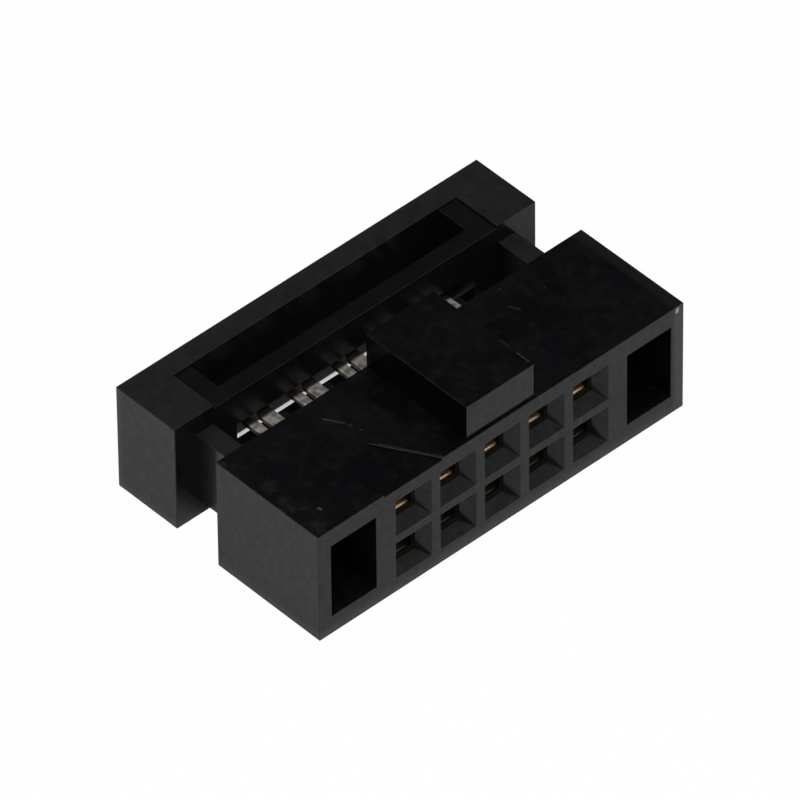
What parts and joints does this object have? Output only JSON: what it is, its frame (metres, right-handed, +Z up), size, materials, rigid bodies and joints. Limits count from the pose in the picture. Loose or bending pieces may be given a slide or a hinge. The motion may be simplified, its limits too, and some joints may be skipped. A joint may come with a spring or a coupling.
{
  "type": "ribbon cable socket",
  "caption": "Black two-row ribbon-cable socket with a polarising key, lead-in funnels, insulation-piercing contacts and a press-on latched cover standing open.",
  "frame": {"origin": "under the middle of the whole part's box, on the housing's flat underside", "axes": "+X along the contact rows, -Y out of the mating face towards the header, +Z up through the key"},
  "size_m": [0.021, 0.0126, 0.0078],
  "materials": {
    "housing_plastic": "black moulded plastic, satin sides and a smoother top",
    "cover_plastic": "black moulded plastic, smooth, with satin top faces",
    "contact_metal": "plated spring strip, bright blades and gold-coloured leaves"
  },
  "bodies": {
    "socket": {"housing": "housing_plastic", "contact_a1": "contact_metal", "contact_a2": "contact_metal", "contact_a3": "contact_metal", "contact_a4": "contact_metal", "contact_a5": "contact_metal", "contact_b1": "contact_metal", "contact_b2": "contact_metal", "contact_b3": "contact_metal", "contact_b4": "contact_metal", "contact_b5": "contact_metal"},
    "cover": {"cover": "cover_plastic"}
  },
  "joints": [
    {"name": "cover_press", "type": "slide", "parent": "socket", "child": "cover", "axis": [0, -1, 0], "range_m": [0, 0.0019]}
  ]
}
